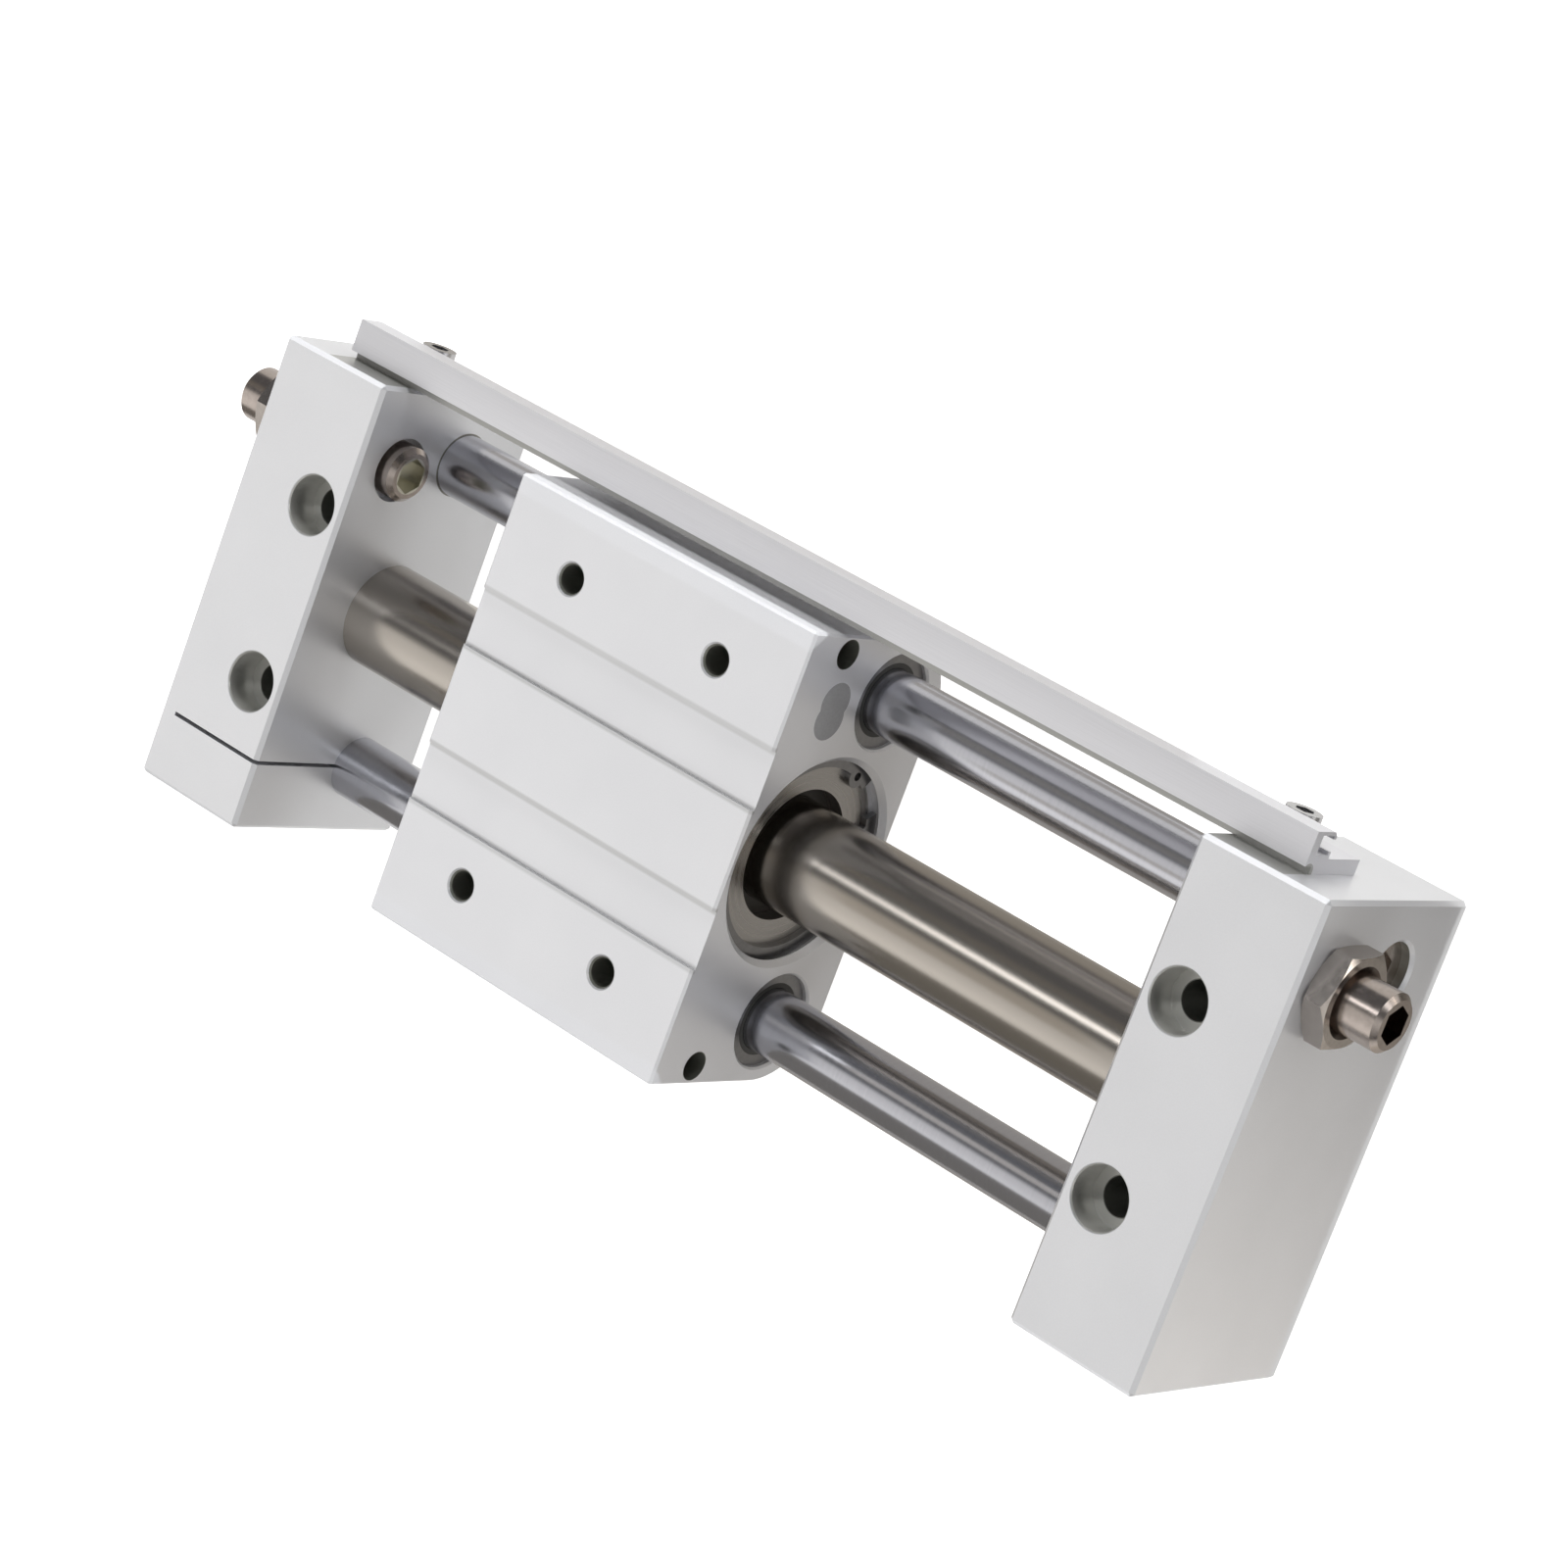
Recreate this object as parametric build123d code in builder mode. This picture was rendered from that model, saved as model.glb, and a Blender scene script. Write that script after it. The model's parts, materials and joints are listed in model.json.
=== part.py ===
from build123d import *
import os
from math import cos, radians

# Rodless air cylinder: a magnetically coupled slide block on two guide shafts.
# X runs along the tube, +Y points to the switch rail, +Z is up. The origin lies
# midway between the end plates, below the tube, on the feet of the plates.

# Driving dimensions in millimetres
BORE = 25.0
TUBE_WALL = 0.7
STROKE = 150.0
BLOCK_LENGTH = 95.0
BLOCK_AT = -30.0
PLATE_THICK = 35.0
PLATE_WIDTH = 116.0
PLATE_HEIGHT = 57.5
EDGE_BREAK = 1.0
TUBE_SEAT = 10.0

# Guide shafts
SHAFT_R = 8.0
SHAFT_INSET = 17.5
SHAFT_DROP = 9.0
SHAFT_BORE_R = 4.0
SHAFT_END_GAP = 3.0
SHAFT_SEAT_SOLID = 25.0
SHAFT_CHAMFER = 0.8

# Fits and clearances
RUN_GAP = 0.05
MAGNET_GAP = 0.5
PISTON_GAP = 0.3
TIP_CLEARANCE = 0.5

# Stop bolts and their lock nuts
BOLT_R = 7.0
BOLT_INSET = 20.5
BOLT_RISE = 12.0
BOLT_REACH = 4.0
BOLT_TAIL = 16.5
BOLT_SOCKET_AF = 8.0
BOLT_SOCKET_DEPTH = 6.0
BOLT_CHAMFER = 1.2
BOLT_RECESS_WIDTH = 1.25
BOLT_RECESS_DEPTH = 3.5
NUT_AF = 21.0
NUT_THICK = 6.0
NUT_TURN = 35.0
NUT_MOUTH = 1.4

# Feet: counterbored holes in the end plates
FOOT_INSET = 10.0
FOOT_SHIFT = 0.4
FOOT_HOLE_R = 4.5
FOOT_HEAD_R = 7.25
FOOT_HEAD_DEPTH = 8.5
FOOT_CHAMFER = 0.4

# Air ports and passages
PORT_R = 4.3
PORT_DEPTH = 9.0
PORT_RISE = 5.5
POCKET_R = 6.0
PASSAGE_R = 1.5
PASSAGE_DROP = 3.5
PASSAGE_BACK = 3.0
FEED_R = 2.0
FEED_RISE = 3.5
PLUG_LENGTH = 6.5
PLUG_SETBACK = 3.0
PLUG_SOCKET_AF = 8.0
PLUG_SOCKET_DEPTH = 4.0
PLUG_MOUTH_CHAMFER = 0.8

# Clamp slit over the solid shaft, and the screws that hold the shafts
SLIT_WIDTH = 1.0
SLIT_LENGTH = 30.0
CLAMP_R = 2.5
CLAMP_HEAD_R = 4.25
CLAMP_HEAD_DEPTH = 7.0
CLAMP_LENGTH = 24.0
CLAMP_INSET = 23.0
CLAMP_RISE = 20.5
CLAMP_SOCKET_AF = 4.0
GRUB_R = 3.0
GRUB_FROM_END = 4.0
GRUB_RECESS = 1.5
GRUB_SOCKET_AF = 3.0

# Switch rail: a foot along the plates with a slotted box above it
RAIL_PAST_PLATE = 13.5
RAIL_LOW = 28.0
RAIL_FOOT = 3.6
RAIL_BOX_IN = 1.8
RAIL_BOX_OUT = 9.8
RAIL_FOOT_HEIGHT = 13.0
RAIL_BOX_HEIGHT = 8.0
RAIL_STEP = 2.5
RAIL_CHAMFER = 1.0
SLOT_WIDTH = 4.4
SLOT_DEPTH = 5.4
SLOT_MOUTH = 2.8
SLOT_LIP = 0.9
RAIL_SCREW_R = 2.5
RAIL_SCREW_INSET = 8.0
RAIL_SCREW_UP = 6.0
RAIL_SCREW_DEPTH = 12.0
RAIL_HEAD_R = 4.25
RAIL_HEAD_H = 5.4
RAIL_SOCKET_AF = 4.0
SOCKET_DEPTH = 2.5

# Slide block
BLOCK_SETBACK = 2.0
BLOCK_LOW = 3.0
BLOCK_FLOOR_WALL = 2.5
BLOCK_ROOF_WALL = 3.0
BLOCK_WEB = 3.5
BLOCK_EDGE = 0.6
BLOCK_CORNER_DROP = 0.5
BLOCK_SHOULDER_R = 5.0
GROOVE_IN = 12.5
GROOVE_OUT = 27.0
GROOVE_DEPTH = 1.1
TAP_R = 3.4
TAP_SPACING_X = 47.0
TAP_INSET = 17.0
TAP_DEPTH = 14.0
TAP_CHAMFER = 0.8
STACK_CHAMFER = 1.6
END_HOLE_R = 3.6
END_HOLE_INSET = 4.6
END_HOLE_DOWN = 14.0
END_HOLE_DEPTH = 12.0
PAD_R = 4.9
PAD_SPLIT = 2.2
PAD_DEPTH = 1.0

# Magnet stack round the tube, measured from the middle of the block
MAGNET_COUNT = 4
MAGNET_LENGTH = 8.0
YOKE_LENGTH = 3.0
SLEEVE_WALL = 5.0
WEAR_WALL = 3.3
SCRAPER_LENGTH = 4.0
WEAR_LENGTH = 11.4
RING_SETBACK = 3.0
RING_THICK = 1.6
RING_GROOVE_DEPTH = 1.3
RING_LIP = 2.2
RING_LUG = 4.5
RING_GAP_ANGLE = 24.0
RING_GAP_AT = -52.0
RING_EYE_R = 1.1

# Guide bushes in the block
BUSH_WALL = 4.0
BUSH_CHAMFER = 0.5
BUSH_LENGTH = 30.0
BUSH_SETBACK = 1.5
SEAL_WALL = 1.3
BUSH_RING_LENGTH = 1.4

# Piston inside the tube
ROD_R = 4.0
ROD_TAIL = 3.0
INNER_MAGNET_GAP = 0.9
HEAD_LENGTH = 12.5
HEAD_GROOVE_DEPTH = 2.6
SEAL_LENGTH = 3.0
SEAL_AT = 8.0
WEAR_BAND_LENGTH = 4.0
WEAR_BAND_AT = 2.5
PISTON_NUT_AF = 13.0
PISTON_NUT_THICK = 5.0
BUMPER_WALL = 4.0
BUMPER_LENGTH = 4.0
GASKET_WALL = 1.8
GASKET_LENGTH = 2.6
GASKET_INSET = 4.0

# Places worked out from the sizes above
TUBE_R = BORE / 2 + TUBE_WALL
GASKET_R = TUBE_R + GASKET_WALL
PLATE_IN = (BLOCK_LENGTH + STROKE) / 2 + TIP_CLEARANCE + BOLT_REACH
PLATE_OUT = PLATE_IN + PLATE_THICK
PLATE_Y = PLATE_WIDTH / 2
TUBE_END = PLATE_IN + TUBE_SEAT
POCKET_DEPTH = PLATE_THICK - PORT_DEPTH
PASSAGE_INSET = POCKET_DEPTH - PASSAGE_BACK
SHAFT_SEAT_PORTED = PASSAGE_INSET - SHAFT_END_GAP
GRUB_INSET = SHAFT_SEAT_PORTED - GRUB_FROM_END
SHAFT_Y = PLATE_Y - SHAFT_INSET
BUSH_R = SHAFT_R + BUSH_WALL
SEAL_R = SHAFT_R + SEAL_WALL
STACK_R = SHAFT_Y - BUSH_R - BLOCK_WEB
TUBE_Z = BLOCK_LOW + BLOCK_FLOOR_WALL + STACK_R
SHAFT_Z = TUBE_Z - SHAFT_DROP
BOLT_Y = PLATE_Y - BOLT_INSET
BOLT_Z = TUBE_Z + BOLT_RISE
BOLT_RECESS_R = BOLT_R + BOLT_RECESS_WIDTH
FOOT_Y = (TUBE_R + SHAFT_Y - SHAFT_R) / 2 + FOOT_SHIFT
OUTER_MAGNET_R = STACK_R - SLEEVE_WALL
SPACER_IN_R = TUBE_R + WEAR_WALL
RING_GROOVE_R = STACK_R + RING_GROOVE_DEPTH
RING_IN_R = STACK_R - RING_LIP
RING_LUG_R = STACK_R - RING_LUG
BLOCK_Y = PLATE_Y - BLOCK_SETBACK
BLOCK_CORNER_R = SHAFT_Z - BLOCK_LOW - BLOCK_CORNER_DROP
BLOCK_TOP = TUBE_Z + STACK_R + BLOCK_ROOF_WALL
STACK_HALF = (MAGNET_COUNT * MAGNET_LENGTH + (MAGNET_COUNT + 1) * YOKE_LENGTH) / 2
RING_FACE = BLOCK_LENGTH / 2 - RING_SETBACK
SPACER_FACE = RING_FACE - RING_THICK
INNER_MAGNET_R = BORE / 2 - INNER_MAGNET_GAP
HEAD_R = BORE / 2 - PISTON_GAP
HEAD_GROOVE_R = HEAD_R - HEAD_GROOVE_DEPTH
CLAMP_Z = SHAFT_Z + CLAMP_RISE
RAIL_Y = PLATE_Y + RAIL_FOOT
RAIL_BOX_LOW = RAIL_LOW + RAIL_FOOT_HEIGHT
RAIL_TOP = RAIL_BOX_LOW + RAIL_BOX_HEIGHT
RAIL_SCREW_X = PLATE_IN + RAIL_SCREW_INSET
RAIL_SCREW_Z = RAIL_LOW + RAIL_SCREW_UP
SIDES = {"left": -1, "right": 1}

os.makedirs("parts", exist_ok=True)


def save(block, name):
    """Name a finished piece and write it to its own file."""
    block.part.label = name
    export_step(block.part, f"parts/{name}.step")


def across(x, y=0.0, z=0.0, side=1):
    """Plane square to the tube at x, whose normal points along side * X."""
    return Plane(origin=(x, y, z), x_dir=(0, side, 0), z_dir=(side, 0, 0))


def facing_y(x, y, z, side=1):
    """Plane square to Y, whose normal points along side * Y."""
    return Plane(origin=(x, y, z), x_dir=(-side, 0, 0), z_dir=(0, side, 0))


def hexagon(across_flats, turn=0.0):
    """Regular hexagon of the given width, as the sketch in hand."""
    return RegularPolygon(across_flats / 2, 6, major_radius=False, rotation=turn)


def rings(spans, inner, outer, y=0.0, z=TUBE_Z):
    """Rings or discs about an axis along X, one for each (start, end) span."""
    with BuildPart() as block:
        for start, end in spans:
            with BuildSketch(across(start, y, z)):
                Circle(outer)
                if inner:
                    Circle(inner, mode=Mode.SUBTRACT)
            extrude(amount=end - start)
    return block


def both_ends(start, end, at=BLOCK_AT):
    """The span from start to end out of the middle, at both ends."""
    return [(at + start, at + end), (at - end, at - start)]


def bore_hole(plane, radius, depth):
    """Round hole sunk from a plane against its normal."""
    with Locations(plane):
        Hole(radius, depth)


def end_plate(side):
    """End plate with its seats, feet, ports and stop bolt thread."""
    inner = across(side * PLATE_IN, 0, 0, -side)
    outer_x = side * PLATE_OUT
    passage_x = side * (PLATE_IN + PASSAGE_INSET)
    with BuildPart() as plate:
        with BuildSketch(inner):
            with Locations((0, PLATE_HEIGHT / 2)):
                Rectangle(PLATE_WIDTH, PLATE_HEIGHT)
        extrude(amount=-PLATE_THICK)
        chamfer(plate.edges(), EDGE_BREAK)

        # Seat of the tube, groove of its gasket and the air pocket behind it
        bore_hole(across(side * PLATE_IN, 0, TUBE_Z, -side), TUBE_R, TUBE_SEAT)
        bore_hole(across(side * (PLATE_IN + GASKET_INSET), 0, TUBE_Z, -side), GASKET_R, GASKET_LENGTH)
        bore_hole(across(side * PLATE_IN, 0, TUBE_Z, -side), POCKET_R, POCKET_DEPTH)

        # Seats of the guide shafts: one goes through, one is blind
        bore_hole(across(side * PLATE_IN, SHAFT_Y, SHAFT_Z, -side), SHAFT_R, PLATE_THICK)
        bore_hole(across(side * PLATE_IN, -SHAFT_Y, SHAFT_Z, -side), SHAFT_R, SHAFT_SEAT_SOLID)
        with BuildSketch(across(outer_x, SHAFT_Y, SHAFT_Z, side)):
            Circle(SHAFT_R + PLUG_MOUTH_CHAMFER)
        extrude(amount=-PLUG_MOUTH_CHAMFER, taper=45, mode=Mode.SUBTRACT)

        # Thread and inner recess of the stop bolt
        bore_hole(across(side * PLATE_IN, BOLT_Y, BOLT_Z, -side), BOLT_R, PLATE_THICK)
        bore_hole(across(side * PLATE_IN, BOLT_Y, BOLT_Z, -side), BOLT_RECESS_R, BOLT_RECESS_DEPTH)

        # Feet
        foot_x = side * (PLATE_IN + FOOT_INSET)
        with Locations((foot_x, -FOOT_Y, PLATE_HEIGHT), (foot_x, FOOT_Y, PLATE_HEIGHT)):
            CounterBoreHole(FOOT_HOLE_R, FOOT_HEAD_R, FOOT_HEAD_DEPTH, depth=PLATE_HEIGHT)
        with BuildSketch(Plane.XY.offset(PLATE_HEIGHT)):
            with Locations((foot_x, -FOOT_Y), (foot_x, FOOT_Y)):
                Circle(FOOT_HEAD_R + FOOT_CHAMFER)
        extrude(amount=-FOOT_CHAMFER, taper=45, mode=Mode.SUBTRACT)

        # Set screws from below, into both shafts or into the ported one alone
        grub_rows = (SHAFT_Y,) if side < 0 else (-SHAFT_Y, SHAFT_Y)
        for y in grub_rows:
            bore_hole(Plane((side * (PLATE_IN + GRUB_INSET), y, SHAFT_Z)), GRUB_R, SHAFT_Z)

        # Tapped hole of the switch rail
        bore_hole(facing_y(side * RAIL_SCREW_X, PLATE_Y, RAIL_SCREW_Z), RAIL_SCREW_R, RAIL_SCREW_DEPTH)

        if side < 0:
            # Axial port, and the passage from the pocket to the ported shaft
            bore_hole(across(outer_x, 0, TUBE_Z, side), PORT_R, PORT_DEPTH)
            bore_hole(facing_y(passage_x, SHAFT_Y, TUBE_Z - PASSAGE_DROP), PASSAGE_R, SHAFT_Y)
            # Slit that lets the plate clamp the solid shaft, and its screw hole
            with BuildSketch(Plane.XY.offset(PLATE_HEIGHT)):
                with Locations((-PLATE_IN - SLIT_LENGTH / 2, -SHAFT_Y)):
                    Rectangle(SLIT_LENGTH, SLIT_WIDTH)
            extrude(amount=SHAFT_Z - PLATE_HEIGHT, mode=Mode.SUBTRACT)
            clamp = facing_y(-PLATE_IN - CLAMP_INSET, -PLATE_Y, CLAMP_Z, -1)
            bore_hole(clamp, CLAMP_R, CLAMP_HEAD_DEPTH + CLAMP_LENGTH)
            bore_hole(clamp, CLAMP_HEAD_R, CLAMP_HEAD_DEPTH)
        else:
            # Side port and its feed into the pocket
            bore_hole(facing_y(passage_x, -PLATE_Y, TUBE_Z + PORT_RISE, -1), PORT_R, PORT_DEPTH)
            bore_hole(facing_y(passage_x, -PLATE_Y, TUBE_Z + FEED_RISE, -1), FEED_R, PLATE_Y)
    return plate


def stop_bolt(side):
    """Threaded stop bolt with a socket in each end."""
    tip = side * (PLATE_IN - BOLT_REACH)
    tail = side * (PLATE_OUT + BOLT_TAIL)
    with BuildPart() as bolt:
        with BuildSketch(across(tip, BOLT_Y, BOLT_Z, side)):
            Circle(BOLT_R)
        extrude(amount=abs(tail - tip))
        chamfer(bolt.edges().filter_by(GeomType.CIRCLE), BOLT_CHAMFER)
        for end, way in ((tip, -side), (tail, side)):
            with BuildSketch(across(end, BOLT_Y, BOLT_Z, way)):
                hexagon(BOLT_SOCKET_AF)
            extrude(amount=-BOLT_SOCKET_DEPTH, mode=Mode.SUBTRACT)
    return bolt


def lock_nut(side):
    """Hexagon nut with turned corners, tight against the end plate."""
    with BuildPart() as nut:
        with BuildSketch(across(side * PLATE_OUT, BOLT_Y, BOLT_Z, side)):
            hexagon(NUT_AF, NUT_TURN)
        extrude(amount=NUT_THICK)
        # Corners turned away at both faces: what stays lies within a barrel with a cone at each end
        with BuildSketch(Plane(origin=(0, BOLT_Y, BOLT_Z), x_dir=(side, 0, 0), z_dir=(0, -side, 0))):
            corner = NUT_AF / 2 / cos(radians(30))
            cut = (corner - NUT_AF / 2) / 2
            with BuildLine():
                Polyline(
                    (PLATE_OUT, 0),
                    (PLATE_OUT, NUT_AF / 2),
                    (PLATE_OUT + cut, corner),
                    (PLATE_OUT + NUT_THICK - cut, corner),
                    (PLATE_OUT + NUT_THICK, NUT_AF / 2),
                    (PLATE_OUT + NUT_THICK, 0),
                    close=True,
                )
            make_face()
        revolve(axis=Axis((0, BOLT_Y, BOLT_Z), (1, 0, 0)), mode=Mode.INTERSECT)
        mouth = across(side * (PLATE_OUT + NUT_THICK), BOLT_Y, BOLT_Z, side)
        bore_hole(mouth, BOLT_R, NUT_THICK)
        with BuildSketch(mouth):
            Circle(BOLT_R + NUT_MOUTH)
        extrude(amount=-NUT_MOUTH, taper=45, mode=Mode.SUBTRACT)
    return nut


def snap_ring(side):
    """Open retaining ring with two eyes, in its groove in the slide block."""
    with BuildPart() as ring:
        with BuildSketch(across(BLOCK_AT + side * SPACER_FACE, 0, TUBE_Z, side)):
            Circle(RING_GROOVE_R)
            Circle(RING_IN_R, mode=Mode.SUBTRACT)
            eye_r = (RING_GROOVE_R - RING_LUG_R) / 2
            first_eye = RING_GAP_AT - RING_GAP_ANGLE
            eyes = PolarLocations(RING_LUG_R + eye_r, 2, first_eye, 2 * RING_GAP_ANGLE, endpoint=True)
            with eyes:
                Circle(eye_r)
            # Wedge of the gap, reaching well past the rim
            with BuildLine():
                gap = RING_GAP_ANGLE / 2
                arc = CenterArc((0, 0), RING_GROOVE_R + RING_THICK, RING_GAP_AT - gap, 2 * gap)
                Polyline(arc @ 1, (0, 0), arc @ 0)
            make_face(mode=Mode.SUBTRACT)
            with eyes:
                Circle(RING_EYE_R, mode=Mode.SUBTRACT)
        extrude(amount=RING_THICK)
    return ring


# End plates, stop bolts and nuts, one of each at both ends
for end, sign in SIDES.items():
    save(end_plate(sign), f"end_plate_{end}")
    save(stop_bolt(sign), f"stop_bolt_{end}")
    save(lock_nut(sign), f"lock_nut_{end}")

# Cylinder tube, seated in both plates
save(rings([(-TUBE_END, TUBE_END)], BORE / 2, TUBE_R), "cylinder_tube")

# Gaskets that seal the tube in the plates
gasket_at = PLATE_IN + GASKET_INSET
save(rings(both_ends(gasket_at, gasket_at + GASKET_LENGTH, 0), TUBE_R, GASKET_R), "tube_gaskets")

# Ported guide shaft: hollow, so that it carries air from plate to plate
with BuildPart() as guide_shaft_ported:
    ported_half = PLATE_IN + SHAFT_SEAT_PORTED
    add(rings([(-ported_half, ported_half)], SHAFT_BORE_R, SHAFT_R, SHAFT_Y, SHAFT_Z).part)
    chamfer(guide_shaft_ported.edges().filter_by(GeomType.CIRCLE).sort_by(SortBy.RADIUS)[-2:], SHAFT_CHAMFER)
save(guide_shaft_ported, "guide_shaft_ported")

# Solid guide shaft
with BuildPart() as guide_shaft_solid:
    solid_half = PLATE_IN + SHAFT_SEAT_SOLID
    add(rings([(-solid_half, solid_half)], 0, SHAFT_R, -SHAFT_Y, SHAFT_Z).part)
    chamfer(guide_shaft_solid.edges().filter_by(GeomType.CIRCLE), SHAFT_CHAMFER)
save(guide_shaft_solid, "guide_shaft_solid")

# Plugs that close the ported shaft's bore in each plate
with BuildPart() as shaft_plugs:
    plug_out = PLATE_OUT - PLUG_SETBACK
    add(rings(both_ends(plug_out - PLUG_LENGTH, plug_out, 0), 0, SHAFT_R, SHAFT_Y, SHAFT_Z).part)
    for sign in SIDES.values():
        with BuildSketch(across(sign * plug_out, SHAFT_Y, SHAFT_Z, sign)):
            hexagon(PLUG_SOCKET_AF)
        extrude(amount=-PLUG_SOCKET_DEPTH, mode=Mode.SUBTRACT)
save(shaft_plugs, "shaft_plugs")

# Clamp screw across the slit
with BuildPart() as clamp_screw:
    screw_x = -PLATE_IN - CLAMP_INSET
    seat_y = CLAMP_HEAD_DEPTH - PLATE_Y
    with BuildSketch(facing_y(screw_x, seat_y, CLAMP_Z, -1)):
        Circle(CLAMP_R)
    extrude(amount=-CLAMP_LENGTH)
    with BuildSketch(facing_y(screw_x, seat_y, CLAMP_Z, -1)):
        Circle(CLAMP_HEAD_R)
    extrude(amount=2 * CLAMP_R)
    with BuildSketch(facing_y(screw_x, seat_y - 2 * CLAMP_R, CLAMP_Z, -1)):
        hexagon(CLAMP_SOCKET_AF)
    extrude(amount=-SOCKET_DEPTH, mode=Mode.SUBTRACT)
save(clamp_screw, "clamp_screw")

# Set screws that hold the shafts from below
with BuildPart() as set_screws:
    grub_x = PLATE_IN + GRUB_INSET
    grub_end = SHAFT_Z - SHAFT_R
    for x, y in ((-grub_x, SHAFT_Y), (grub_x, SHAFT_Y), (grub_x, -SHAFT_Y)):
        with BuildSketch(Plane.XY.offset(GRUB_RECESS)):
            with Locations((x, y)):
                Circle(GRUB_R)
        extrude(amount=grub_end - GRUB_RECESS)
        with BuildSketch(Plane.XY.offset(GRUB_RECESS)):
            with Locations((x, y)):
                hexagon(GRUB_SOCKET_AF)
        extrude(amount=SOCKET_DEPTH, mode=Mode.SUBTRACT)
save(set_screws, "set_screws")

# Switch rail: foot against the plates, box with a slot for sensors above
with BuildPart() as switch_rail:
    rail_half = PLATE_OUT - RAIL_PAST_PLATE
    slot_y = PLATE_Y + (RAIL_FOOT + RAIL_BOX_OUT) / 2
    rail_end = across(-rail_half)
    with BuildSketch(rail_end):
        with BuildLine():
            Polyline(
                (PLATE_Y, RAIL_LOW),
                (RAIL_Y, RAIL_LOW),
                (RAIL_Y, RAIL_BOX_LOW),
                (PLATE_Y + RAIL_BOX_OUT - RAIL_CHAMFER, RAIL_BOX_LOW),
                (PLATE_Y + RAIL_BOX_OUT, RAIL_BOX_LOW + RAIL_CHAMFER),
                (PLATE_Y + RAIL_BOX_OUT, RAIL_TOP),
                (PLATE_Y + RAIL_BOX_IN, RAIL_TOP),
                (PLATE_Y + RAIL_BOX_IN, RAIL_TOP - RAIL_STEP),
                (PLATE_Y, RAIL_TOP - RAIL_STEP),
                close=True,
            )
        make_face()
        with Locations((slot_y, RAIL_BOX_LOW + SLOT_LIP / 2)):
            Rectangle(SLOT_MOUTH, SLOT_LIP, mode=Mode.SUBTRACT)
        with Locations((slot_y, RAIL_BOX_LOW + SLOT_LIP + (SLOT_DEPTH - SLOT_LIP) / 2)):
            Rectangle(SLOT_WIDTH, SLOT_DEPTH - SLOT_LIP, mode=Mode.SUBTRACT)
    extrude(amount=2 * rail_half)
    for sign in SIDES.values():
        bore_hole(facing_y(sign * RAIL_SCREW_X, RAIL_Y, RAIL_SCREW_Z), RAIL_SCREW_R, RAIL_FOOT)
save(switch_rail, "switch_rail")

# Socket head screws of the switch rail
with BuildPart() as rail_screws:
    for sign in SIDES.values():
        rail_screw_x = sign * RAIL_SCREW_X
        with BuildSketch(facing_y(rail_screw_x, RAIL_Y, RAIL_SCREW_Z)):
            Circle(RAIL_SCREW_R)
        extrude(amount=-RAIL_FOOT - RAIL_SCREW_DEPTH)
        with BuildSketch(facing_y(rail_screw_x, RAIL_Y, RAIL_SCREW_Z)):
            Circle(RAIL_HEAD_R)
        extrude(amount=RAIL_HEAD_H)
        with BuildSketch(facing_y(rail_screw_x, RAIL_Y + RAIL_HEAD_H, RAIL_SCREW_Z)):
            hexagon(RAIL_SOCKET_AF)
        extrude(amount=-SOCKET_DEPTH, mode=Mode.SUBTRACT)
save(rail_screws, "rail_screws")

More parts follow.
